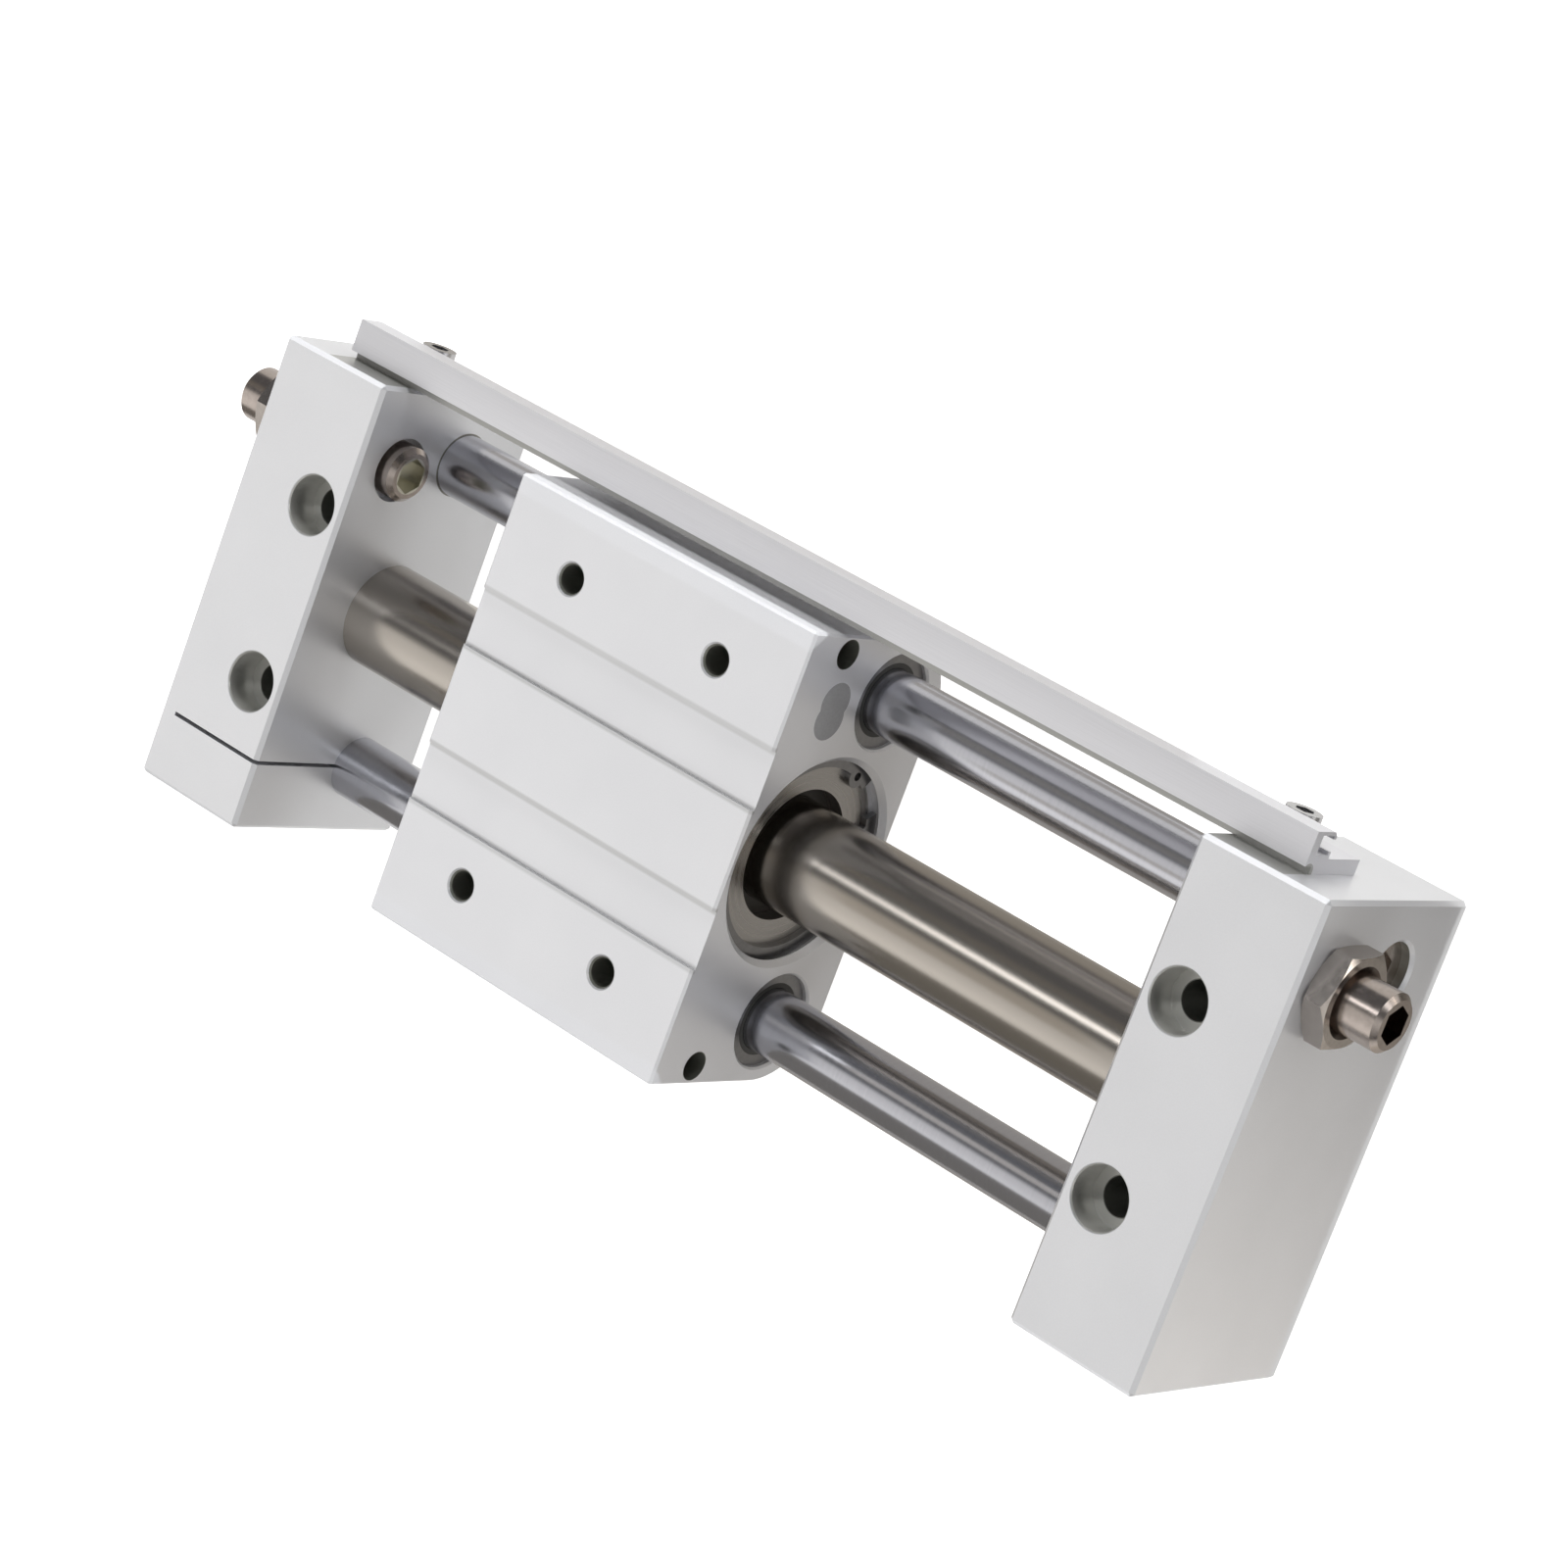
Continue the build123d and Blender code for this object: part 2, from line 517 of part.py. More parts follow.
# Slide block: grooved top, rounded lower corners, bores for stack and bushes
with BuildPart() as slide_block:
    block_low_x = BLOCK_AT - BLOCK_LENGTH / 2
    with BuildSketch(across(block_low_x)) as block_profile:
        with Locations((0, (BLOCK_LOW + BLOCK_TOP) / 2)):
            Rectangle(2 * BLOCK_Y, BLOCK_TOP - BLOCK_LOW)
        corners = block_profile.vertices().sort_by(Axis.Y)
        fillet(corners[:2], BLOCK_CORNER_R)
        fillet(corners[2:], BLOCK_SHOULDER_R)
    extrude(amount=BLOCK_LENGTH)
    chamfer(slide_block.edges(), BLOCK_EDGE)
    groove_mid = (GROOVE_IN + GROOVE_OUT) / 2
    with BuildSketch(across(block_low_x)):
        with Locations((-groove_mid, BLOCK_TOP), (groove_mid, BLOCK_TOP)):
            Rectangle(GROOVE_OUT - GROOVE_IN, 2 * GROOVE_DEPTH)
    extrude(amount=BLOCK_LENGTH, mode=Mode.SUBTRACT)

    block_high_x = BLOCK_AT + BLOCK_LENGTH / 2
    bore_hole(across(block_high_x, 0, TUBE_Z), STACK_R, BLOCK_LENGTH)
    bore_hole(across(block_high_x, SHAFT_Y, SHAFT_Z), BUSH_R, BLOCK_LENGTH)
    bore_hole(across(block_high_x, -SHAFT_Y, SHAFT_Z), BUSH_R, BLOCK_LENGTH)
    for sign in SIDES.values():
        face_x = BLOCK_AT + sign * BLOCK_LENGTH / 2
        with BuildSketch(across(face_x, 0, TUBE_Z, sign)):
            Circle(STACK_R + STACK_CHAMFER)
        extrude(amount=-STACK_CHAMFER, taper=45, mode=Mode.SUBTRACT)
        with BuildSketch(across(face_x, 0, SHAFT_Z, sign)):
            with Locations((-SHAFT_Y, 0), (SHAFT_Y, 0)):
                Circle(BUSH_R + BUSH_CHAMFER)
        extrude(amount=-BUSH_CHAMFER, taper=45, mode=Mode.SUBTRACT)
        bore_hole(across(BLOCK_AT + sign * RING_FACE, 0, TUBE_Z, sign), RING_GROOVE_R, RING_THICK)
        for y in (END_HOLE_INSET - BLOCK_Y, BLOCK_Y - END_HOLE_INSET):
            bore_hole(across(face_x, y, BLOCK_TOP - END_HOLE_DOWN, sign), END_HOLE_R, END_HOLE_DEPTH)
        bore_hole(across(face_x, BOLT_Y + PAD_SPLIT, BOLT_Z, sign), PAD_R, PAD_DEPTH)
        bore_hole(across(face_x, BOLT_Y - PAD_SPLIT, BOLT_Z, sign), PAD_R, PAD_DEPTH)
    with Locations((BLOCK_AT, 0, BLOCK_TOP)):
        with GridLocations(TAP_SPACING_X, 2 * (BLOCK_Y - TAP_INSET), 2, 2):
            CounterSinkHole(TAP_R, TAP_R + TAP_CHAMFER, TAP_DEPTH, 90)
save(slide_block, "slide_block")

# Stop pads in the ends of the slide block
for end, sign in SIDES.items():
    with BuildPart() as stop_pad:
        with BuildSketch(across(BLOCK_AT + sign * (BLOCK_LENGTH / 2 - PAD_DEPTH), BOLT_Y, BOLT_Z, sign)):
            with Locations((-PAD_SPLIT, 0), (PAD_SPLIT, 0)):
                Circle(PAD_R)
        extrude(amount=PAD_DEPTH)
    save(stop_pad, f"stop_pad_{end}")

# Guide bushes, their retaining rings and the rod seals, front and rear
bush_face = BLOCK_LENGTH / 2 - BUSH_SETBACK
ring_back = bush_face - BUSH_RING_LENGTH
for row, shaft_y in (("front", SHAFT_Y), ("rear", -SHAFT_Y)):
    slide_r = SHAFT_R + RUN_GAP
    bush_spans = both_ends(ring_back - BUSH_LENGTH, ring_back)
    mouth_spans = both_ends(ring_back, bush_face)
    save(rings(bush_spans, slide_r, BUSH_R, shaft_y, SHAFT_Z), f"guide_bushes_{row}")
    save(rings(mouth_spans, SEAL_R, BUSH_R, shaft_y, SHAFT_Z), f"bush_rings_{row}")
    save(rings(mouth_spans, slide_r, SEAL_R, shaft_y, SHAFT_Z), f"rod_seals_{row}")

# Magnets and yokes: the same spacing outside and inside the tube
pitch = MAGNET_LENGTH + YOKE_LENGTH
stack_start = BLOCK_AT - STACK_HALF
yoke_starts = [stack_start + i * pitch for i in range(MAGNET_COUNT + 1)]
yoke_spans = [(start, start + YOKE_LENGTH) for start in yoke_starts]
magnet_spans = [(end, end + MAGNET_LENGTH) for start, end in yoke_spans[:-1]]
ring_sets = {
    "outer_magnets": (magnet_spans, TUBE_R + MAGNET_GAP, OUTER_MAGNET_R),
    "outer_yokes": (yoke_spans, TUBE_R + MAGNET_GAP, OUTER_MAGNET_R),
    "magnet_sleeve": ([(stack_start, stack_start + 2 * STACK_HALF)], OUTER_MAGNET_R, STACK_R),
    "inner_magnets": (magnet_spans, ROD_R, INNER_MAGNET_R),
    "inner_yokes": (yoke_spans, ROD_R, INNER_MAGNET_R),
}
wear_end = STACK_HALF + WEAR_LENGTH
scraper_end = wear_end + SCRAPER_LENGTH
ring_sets["tube_wear_rings"] = (both_ends(STACK_HALF, wear_end), TUBE_R + RUN_GAP, SPACER_IN_R)
ring_sets["tube_scrapers"] = (both_ends(wear_end, scraper_end), TUBE_R + RUN_GAP, SPACER_IN_R)
ring_sets["stack_spacers"] = (both_ends(STACK_HALF, SPACER_FACE), SPACER_IN_R, STACK_R)
for name, (spans, inner, outer) in ring_sets.items():
    save(rings(spans, inner, outer), name)

# Retaining rings of the magnet stack
for end, sign in SIDES.items():
    save(snap_ring(sign), f"snap_ring_{end}")

# Piston rod that carries the inner magnets
head_end = STACK_HALF + HEAD_LENGTH
nut_end = head_end + PISTON_NUT_THICK
rod_half = nut_end + ROD_TAIL
save(rings([(BLOCK_AT - rod_half, BLOCK_AT + rod_half)], 0, ROD_R), "piston_rod")

# Piston halves with grooves for a seal and a wear ring
for end, sign in SIDES.items():
    with BuildPart() as piston_half:
        with BuildSketch(across(BLOCK_AT + sign * STACK_HALF, 0, TUBE_Z, sign)):
            Circle(HEAD_R)
            Circle(ROD_R, mode=Mode.SUBTRACT)
        extrude(amount=HEAD_LENGTH)
        for start, length in ((SEAL_AT, SEAL_LENGTH), (WEAR_BAND_AT, WEAR_BAND_LENGTH)):
            with BuildSketch(across(BLOCK_AT + sign * (STACK_HALF + start), 0, TUBE_Z, sign)):
                Circle(BORE / 2)
                Circle(HEAD_GROOVE_R, mode=Mode.SUBTRACT)
            extrude(amount=length, mode=Mode.SUBTRACT)
    save(piston_half, f"piston_{end}")

# Piston seals, wear rings, nuts and bumpers
seal_at = STACK_HALF + SEAL_AT
band_at = STACK_HALF + WEAR_BAND_AT
for name, start, length in (
    ("piston_seals", seal_at, SEAL_LENGTH),
    ("piston_wear_rings", band_at, WEAR_BAND_LENGTH),
):
    save(rings(both_ends(start, start + length), HEAD_GROOVE_R, BORE / 2 - RUN_GAP), name)

with BuildPart() as piston_nuts:
    for sign in SIDES.values():
        with BuildSketch(across(BLOCK_AT + sign * head_end, 0, TUBE_Z, sign)):
            hexagon(PISTON_NUT_AF)
            Circle(ROD_R, mode=Mode.SUBTRACT)
        extrude(amount=PISTON_NUT_THICK)
save(piston_nuts, "piston_nuts")

bumper_spans = both_ends(nut_end, nut_end + BUMPER_LENGTH)
save(rings(bumper_spans, ROD_R, ROD_R + BUMPER_WALL), "piston_bumpers")
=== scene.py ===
# %% [markdown]
# # A rodless air cylinder, dressed for the camera
#
# The solids of this part come packed as a fixed frame, already at their real size and place. This lesson
# gives each of them the finish of the real piece, paints shade into its bores, sockets, seams and groove
# corners and a highlight on its long upper edges, and lights the whole as in a product photograph.
# Everything is in metres, apart from values that a name or a comment gives in millimetres.

import json
import math

import bmesh
import bpy
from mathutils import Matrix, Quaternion, Vector

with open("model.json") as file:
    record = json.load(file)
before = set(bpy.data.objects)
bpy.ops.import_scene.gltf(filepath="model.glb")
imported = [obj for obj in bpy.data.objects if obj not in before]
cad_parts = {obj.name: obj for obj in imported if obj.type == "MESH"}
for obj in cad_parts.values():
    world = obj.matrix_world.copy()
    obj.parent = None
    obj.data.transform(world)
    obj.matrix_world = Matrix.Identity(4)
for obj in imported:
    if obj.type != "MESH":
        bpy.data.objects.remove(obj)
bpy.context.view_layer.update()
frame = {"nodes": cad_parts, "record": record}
MM = 0.001
scene = bpy.context.scene

# %% [markdown]
# ## Two small helpers
#
# Colours are chosen as sRGB hex values, the way they are picked from a swatch, while the shader wants
# linear numbers. One function turns the first into the second, so that no colour is converted by hand.
# The other adds one node with its settings and links, which keeps each material short enough to read.

# %% Colour and node helpers
def linear(hex_colour, alpha=1.0):
    """sRGB hex text as a linear RGBA value."""
    parts = [int(hex_colour[i : i + 2], 16) / 255 for i in (1, 3, 5)]
    return [c / 12.92 if c <= 0.04045 else ((c + 0.055) / 1.055) ** 2.4 for c in parts] + [alpha]


def add_node(tree, kind, inputs=None, **settings):
    """A node with its settings, and with each input given a value or a link."""
    made = tree.nodes.new(kind)
    for name, value in settings.items():
        setattr(made, name, value)
    for socket, value in (inputs or {}).items():
        if isinstance(value, bpy.types.NodeSocket):
            tree.links.new(value, made.inputs[socket])
        else:
            made.inputs[socket].default_value = value
    return made


print("a middle grey of #808080 is", round(linear("#808080")[0], 3), "in linear light")

# %% [markdown]
# ## The camera
#
# The photograph looks down on the part from beyond its right end with a long lens, and the part lies
# steeply across the picture. The place, aim, roll and lens were solved from the straight edges of the
# plates and shafts, so that the render and the photograph can be laid over each other.

# %% Camera
CAMERA_AT = Vector((641.5, 279.6, 932.9)) * MM
CAMERA_AIM = Vector((3.5, 13.6, 30.5)) * MM
CAMERA_ROLL = -87.86
CAMERA_LENS = 113.5
SENSOR = 36.0

camera_data = bpy.data.cameras.new("photo_camera")
camera_data.lens = CAMERA_LENS
camera_data.sensor_width = SENSOR
camera = bpy.data.objects.new("photo_camera", camera_data)
scene.collection.objects.link(camera)
camera.rotation_mode = "QUATERNION"
camera.location = CAMERA_AT
level = (CAMERA_AIM - CAMERA_AT).to_track_quat("-Z", "Y")
camera.rotation_quaternion = level @ Quaternion((0, 0, 1), math.radians(CAMERA_ROLL))
scene.camera = camera
print("camera distance:", round((CAMERA_AIM - CAMERA_AT).length, 3), "m")

# %% [markdown]
# ## The floor
#
# The photograph is cut out on white. A pale floor does the same job and still catches the part's soft
# shadow. Its glow for the camera lifts the paper to white without any more light on the part. In mirrors
# it shows as an evenly lit bench, because a metal face would otherwise repeat every shadow on the paper.

# %% Floor
FLOOR_HALF = 6.0
FLOOR_DROP = 0.05 * MM

floor_mesh = bpy.data.meshes.new("studio_floor")
floor_form = bmesh.new()
bmesh.ops.create_grid(floor_form, x_segments=1, y_segments=1, size=FLOOR_HALF)
floor_form.to_mesh(floor_mesh)
floor_form.free()
floor = bpy.data.objects.new("studio_floor", floor_mesh)
scene.collection.objects.link(floor)
floor.location.z = -FLOOR_DROP
print("floor:", 2 * FLOOR_HALF, "m wide")

# %% Paper on the floor
PAPER = "#F2F2F2"
PAPER_GLOW = 0.85
BENCH = "#F4F2EE"
BENCH_GLOW = 0.9
WHITE = "#FFFFFF"

floor_paint = bpy.data.materials.new("white_studio_paper")
floor_paint.use_nodes = True
tree = floor_paint.node_tree
tree.nodes.clear()
paper = add_node(tree, "ShaderNodeBsdfDiffuse", {"Color": linear(PAPER)})
glow = add_node(tree, "ShaderNodeEmission", {"Color": linear(WHITE), "Strength": PAPER_GLOW})
lit_paper = add_node(tree, "ShaderNodeAddShader", {0: paper.outputs[0], 1: glow.outputs[0]})
path = add_node(tree, "ShaderNodeLightPath")
for_camera = {0: path.outputs["Is Camera Ray"], 1: paper.outputs[0], 2: lit_paper.outputs[0]}
seen = add_node(tree, "ShaderNodeMixShader", for_camera)
bench = add_node(tree, "ShaderNodeEmission", {"Color": linear(BENCH), "Strength": BENCH_GLOW})
for_mirrors = {0: path.outputs["Is Glossy Ray"], 1: seen.outputs[0], 2: bench.outputs[0]}
laid_out = add_node(tree, "ShaderNodeMixShader", for_mirrors)
add_node(tree, "ShaderNodeOutputMaterial", {"Surface": laid_out.outputs[0]})
floor_mesh.materials.append(floor_paint)
print("paper nodes:", len(tree.nodes))

# %% [markdown]
# ## The sky
#
# What bright metal mirrors matters as much as what lights it: round bars show every light and dark band
# around them as a streak. So the sky is light on the front side and dim at the rear, a little weaker
# overhead, and weaker again to the right. One picture of a studio could do the same, but four ramps are
# easier to set against the photograph, streak by streak.

# %% Ramps across the sky
world = bpy.data.worlds.new("studio_sky")
scene.world = world
world.use_nodes = True
tree = world.node_tree
tree.nodes.clear()
where = add_node(tree, "ShaderNodeTexCoord")
axes = add_node(tree, "ShaderNodeSeparateXYZ", {"Vector": where.outputs["Generated"]})
from_rear = {"Value": axes.outputs["Y"], "From Min": 0.12, "From Max": -0.05}
upwards = {"Value": axes.outputs["Z"], "From Min": 0.1, "From Max": 0.35}
to_zenith = {"Value": axes.outputs["Z"], "From Min": 0.6, "From Max": 0.86, "To Min": 1.22, "To Max": 0.82}
to_right = {"Value": axes.outputs["X"], "From Min": 0.1, "From Max": 0.4, "To Min": 1.0, "To Max": 0.45}
ramps = [add_node(tree, "ShaderNodeMapRange", ramp) for ramp in (from_rear, upwards, to_zenith, to_right)]
side, height, overhead, rightwards = [ramp.outputs["Result"] for ramp in ramps]
print("ramps:", len(ramps))

# %% Sky
SKY_DIM = "#5C5C5E"
SKY_BRIGHT = "#F4F2EF"

lit_part = add_node(tree, "ShaderNodeMath", {0: side, 1: height}, operation="MULTIPLY")
tones = {"Factor": lit_part.outputs["Value"], "A": linear(SKY_DIM), "B": linear(SKY_BRIGHT)}
sky_tone = add_node(tree, "ShaderNodeMix", tones, data_type="RGBA")
power = add_node(tree, "ShaderNodeMath", {0: overhead, 1: rightwards}, operation="MULTIPLY")
sky_light = {"Color": sky_tone.outputs["Result"], "Strength": power.outputs["Value"]}
studio = add_node(tree, "ShaderNodeBackground", sky_light)
white = add_node(tree, "ShaderNodeBackground", {"Color": linear(WHITE), "Strength": 1.0})
path = add_node(tree, "ShaderNodeLightPath")
for_camera = {0: path.outputs["Is Camera Ray"], 1: studio.outputs[0], 2: white.outputs[0]}
seen = add_node(tree, "ShaderNodeMixShader", for_camera)
add_node(tree, "ShaderNodeOutputWorld", {"Surface": seen.outputs[0]})
print("sky nodes:", len(tree.nodes))

# %% [markdown]
# ## Lamps
#
# Soft boxes stand around the part as in a studio. Three of them only light it: they are hidden from
# mirrors, where they would burn white spots. The others are there to be mirrored. A long strip draws the
# bright line along the tube on both sides of the slide block, a box beyond the right end draws the light
# line of the plates' broken edges, and a low one the bright spots on the chamfers of bolt and nut.

# %% Lamps
CENTRE = (0, 0, 0.03)
RIGHT_END = (0.16, -0.05, 0.03)
# Each lamp's place, aim, size in metres and power in watts, and whether metal mirrors it
LAMPS = {
    "rail_side_box": ((-0.1, 1.3, 0.26), CENTRE, (1.2, 0.5), 16.0, False),
    "overhead_box": ((-0.9, -0.6, 1.1), CENTRE, (1.2, 0.9), 5.0, False),
    "end_box": ((0.45, -0.5, 0.15), RIGHT_END, (0.4, 0.3), 1.2, False),
    "strip_box": ((0.052, 0.41, 0.95), (0.052, 0, 0.03), (1.3, 0.16), 2.0, True),
    "strip_end_box": ((-0.737, 0.41, 0.95), (-0.737, 0, 0.03), (0.073, 0.16), 0.11, True),
    "edge_box": ((1.19, -0.15, 0.87), CENTRE, (0.9, 0.6), 0.55, True),
    "nut_box": ((1.4, 0.5, 0.14), CENTRE, (1.1, 0.24), 2.0, True),
}

for name, (at, aim, size, watts, mirrored) in LAMPS.items():
    lamp_data = bpy.data.lights.new(name, "AREA")
    lamp_data.shape = "RECTANGLE"
    lamp_data.size, lamp_data.size_y = size
    lamp_data.energy = watts
    lamp = bpy.data.objects.new(name, lamp_data)
    scene.collection.objects.link(lamp)
    lamp.location = at
    lamp.rotation_mode = "QUATERNION"
    lamp.rotation_quaternion = (Vector(aim) - Vector(at)).to_track_quat("-Z", "Y")
    lamp.visible_glossy = mirrored
print("lamps:", len(LAMPS))

# %% [markdown]
# ## Cards that only mirrors show
#
# A photographer hangs black and white cards around shiny metal, out of the picture, to draw its edges.
# These do the same. They are hidden from the camera, cast no shadow and light nothing that is dull, so
# that they shape what the metal mirrors and nothing else.

# %% One card
CLOTH = "#FFF8EE"


def hang_card(name, rear_tone, front_tone, corners, low_y, high_y):
    """A card that glows from rear_tone to front_tone along Y, and that only mirrors show."""
    paint = bpy.data.materials.new(name + "_cloth")
    paint.use_nodes = True
    card_tree = paint.node_tree
    card_tree.nodes.clear()
    here = add_node(card_tree, "ShaderNodeTexCoord")
    depth = add_node(card_tree, "ShaderNodeSeparateXYZ", {"Vector": here.outputs["Object"]})
    ramp = {"Value": depth.outputs["Y"], "From Min": low_y, "From Max": high_y}
    tone = add_node(card_tree, "ShaderNodeMapRange", {**ramp, "To Min": rear_tone, "To Max": front_tone})
    glow = {"Color": linear(CLOTH), "Strength": tone.outputs["Result"]}
    cloth = add_node(card_tree, "ShaderNodeEmission", glow)
    add_node(card_tree, "ShaderNodeOutputMaterial", {"Surface": cloth.outputs[0]})
    card_mesh = bpy.data.meshes.new(name)
    form = bmesh.new()
    form.faces.new([form.verts.new(corner) for corner in corners])
    form.to_mesh(card_mesh)
    form.free()
    card_mesh.materials.append(paint)
    card = bpy.data.objects.new(name, card_mesh)
    scene.collection.objects.link(card)
    card.visible_camera = False
    card.visible_diffuse = False
    card.visible_shadow = False


print("cloth of the cards:", CLOTH)

# %% [markdown]
# ## Where the cards hang
#
# Two cards over the shafts keep the strip from drawing white hairlines along them. One at the right end's
# foot gives its face the slow fall of light towards the stop bolt. One lies between the plates and stands
# for the shade under the part, and one before the rail greys its outer side. The spark card is white and
# lies beyond the stop bolt, where the chamfer of its nut finds it. A standing card close behind the part
# keeps the far shaft from washing out.

# %% Hang the cards
# Tone at the rear and at the front, span along X and along Y, and height
CARDS = {
    "near_shaft_flag": (0.2, 0.2, (-0.4, 0.1), (0.058, 0.088), 0.1),
    "far_shaft_flag": (0.55, 0.55, (-0.002, 0.08), (-0.018, 0.006), 0.1),
    "foot_flag": (0.85, 0.08, (0.163, 0.228), (-0.09, 0.09), 0.001),
    "shade_flag": (0.4, 0.4, (-0.094, 0.12), (-0.1, 0.064), 0.001),
    "rail_flag": (0.5, 0.5, (-0.17, 0.085), (0.07, 0.1), 0.001),
    "spark_card": (4.0, 4.0, (0.26, 0.37), (0.06, 0.15), 0.001),
}
REAR_TONE = 0.2
REAR_Y = -0.11
REAR_TOP = 0.11
REAR_ENDS = (-0.4, 0.2)

for name, (rear_tone, front_tone, (x0, x1), (y0, y1), z) in CARDS.items():
    lying = [(x0, y0, z), (x1, y0, z), (x1, y1, z), (x0, y1, z)]
    hang_card(name, rear_tone, front_tone, lying, y0, y1)
x0, x1 = REAR_ENDS
standing = [(x0, REAR_Y, 0), (x1, REAR_Y, 0), (x1, REAR_Y, REAR_TOP), (x0, REAR_Y, REAR_TOP)]
hang_card("rear_flag", REAR_TONE, REAR_TONE, standing, 0, 1)
print("cards:", len(CARDS) + 1)

# %% [markdown]
# ## What every finish is made of
#
# Each finish has one shader. A pattern moves its colour between two close tones and its roughness between
# two values, and raises the surface a little, because no real surface is quite even. The pattern could sit
# on a picture, but noise needs none and stays sharp from near by. It is read in Object coordinates, so it
# stays on its piece when the piece moves.

# %% A new finish
def new_finish(name, hex_colour, metallic, roughness):
    """A material with one shader, whose plain values are set on its own sockets."""
    finish = bpy.data.materials.new(name)
    finish.use_nodes = True
    shader_tree = finish.node_tree
    shader_tree.nodes.clear()
    plain = {"Base Color": linear(hex_colour), "Metallic": metallic, "Roughness": roughness}
    shader = add_node(shader_tree, "ShaderNodeBsdfPrincipled", plain)
    add_node(shader_tree, "ShaderNodeOutputMaterial", {"Surface": shader.outputs[0]})
    return finish, shader_tree, shader


def per_metre(size_mm):
    """Texture scale that makes one cell about size_mm wide."""
    return 1 / (size_mm * MM)


print("a 0.5 mm cell needs a texture scale of", per_metre(0.5))


# %% Patterns on a finish
def vary(shader_tree, shader, factor, dark, light, rough):
    """Lets a pattern move the colour between two tones and the roughness between two values."""
    tones = {"Factor": factor, "A": linear(dark), "B": linear(light)}
    tone = add_node(shader_tree, "ShaderNodeMix", tones, data_type="RGBA")
    shader_tree.links.new(tone.outputs["Result"], shader.inputs["Base Color"])
    limits = {"Value": factor, "To Min": rough[0], "To Max": rough[1]}
    gloss = add_node(shader_tree, "ShaderNodeMapRange", limits)
    shader_tree.links.new(gloss.outputs["Result"], shader.inputs["Roughness"])


def emboss(shader_tree, shader, height, depth_mm):
    """Lets a pattern raise and sink the surface by depth_mm."""
    relief = {"Height": height, "Distance": depth_mm * MM, "Strength": 1.0}
    bump = add_node(shader_tree, "ShaderNodeBump", relief)
    shader_tree.links.new(bump.outputs["Normal"], shader.inputs["Normal"])


def object_space(shader_tree, stretch=(1, 1, 1), move_mm=(0, 0, 0)):
    """Object coordinates, stretched, and with the origin moved to a point given in millimetres."""
    here = add_node(shader_tree, "ShaderNodeTexCoord")
    move = {"Vector": here.outputs["Object"], "Location": Vector(move_mm) * -MM}
    mapped = add_node(shader_tree, "ShaderNodeMapping", move)
    scale = {0: mapped.outputs["Vector"], 1: stretch}
    scaled = add_node(shader_tree, "ShaderNodeVectorMath", scale, operation="MULTIPLY")
    return scaled.outputs["Vector"]


print("a pattern drives:", vary.__name__, "and", emboss.__name__)

# %% [markdown]
# ## Shades that follow the form
#
# Shade is painted into the walls of bores, into sockets and the mouths of nuts, into the seam under the
# rail and into the corners of grooves. A highlight is painted on the edges broken by the blast, so that
# they look whiter than the face beside them. Such a region could be a slot of its own on the mesh, but the
# imported solids stay as they are. So a mask works out from the place on the piece where the region lies.

# %% Mask of bores
def bore_mask(shader_tree, centre_mm, half_step_mm, radius_mm, end_mm, axis=2):
    """One inside bores alike round a centre: half their spacing, their radius and how far they reach."""
    place = object_space(shader_tree, move_mm=centre_mm)
    folded = add_node(shader_tree, "ShaderNodeVectorMath", {0: place}, operation="ABSOLUTE")
    step = {0: folded.outputs["Vector"], 1: Vector(half_step_mm) * MM}
    from_axis = add_node(shader_tree, "ShaderNodeVectorMath", step, operation="SUBTRACT")
    flat = [1.0, 1.0, 1.0]
    flat[axis] = 0.0
    squash = {0: from_axis.outputs["Vector"], 1: flat}
    across = add_node(shader_tree, "ShaderNodeVectorMath", squash, operation="MULTIPLY")
    reach = add_node(shader_tree, "ShaderNodeVectorMath", {0: across.outputs["Vector"]}, operation="LENGTH")
    along = add_node(shader_tree, "ShaderNodeSeparateXYZ", {"Vector": folded.outputs["Vector"]})
    within = {0: reach.outputs["Value"], 1: radius_mm * MM}
    near = add_node(shader_tree, "ShaderNodeMath", within, operation="LESS_THAN")
    until = {0: along.outputs[axis], 1: end_mm * MM}
    below = add_node(shader_tree, "ShaderNodeMath", until, operation="LESS_THAN")
    both = {0: near.outputs["Value"], 1: below.outputs["Value"]}
    return add_node(shader_tree, "ShaderNodeMath", both, operation="MULTIPLY").outputs["Value"]


print("mask of round places:", bore_mask.__name__)


# %% Mask of strips
def line_mask(shader_tree, y_mm, half_width_mm, over_mm):
    """One in two soft strips along X, alike on both sides of the middle, above a height."""
    parts = add_node(shader_tree, "ShaderNodeSeparateXYZ", {"Vector": object_space(shader_tree)})
    off = add_node(shader_tree, "ShaderNodeMath", {0: parts.outputs["Y"]}, operation="ABSOLUTE")
    shift = {0: off.outputs["Value"], 1: y_mm * MM}
    away = add_node(shader_tree, "ShaderNodeMath", shift, operation="SUBTRACT")
    apart = add_node(shader_tree, "ShaderNodeMath", {0: away.outputs["Value"]}, operation="ABSOLUTE")
    half_width = half_width_mm * MM
    fade = {"Value": apart.outputs["Value"], "From Min": half_width, "From Max": half_width * 0.5}
    near = add_node(shader_tree, "ShaderNodeMapRange", fade)
    over = {0: parts.outputs["Z"], 1: over_mm * MM}
    high = add_node(shader_tree, "ShaderNodeMath", over, operation="GREATER_THAN")
    both = {0: near.outputs["Result"], 1: high.outputs["Value"]}
    return add_node(shader_tree, "ShaderNodeMath", both, operation="MULTIPLY").outputs["Value"]


print("mask of straight places:", line_mask.__name__)
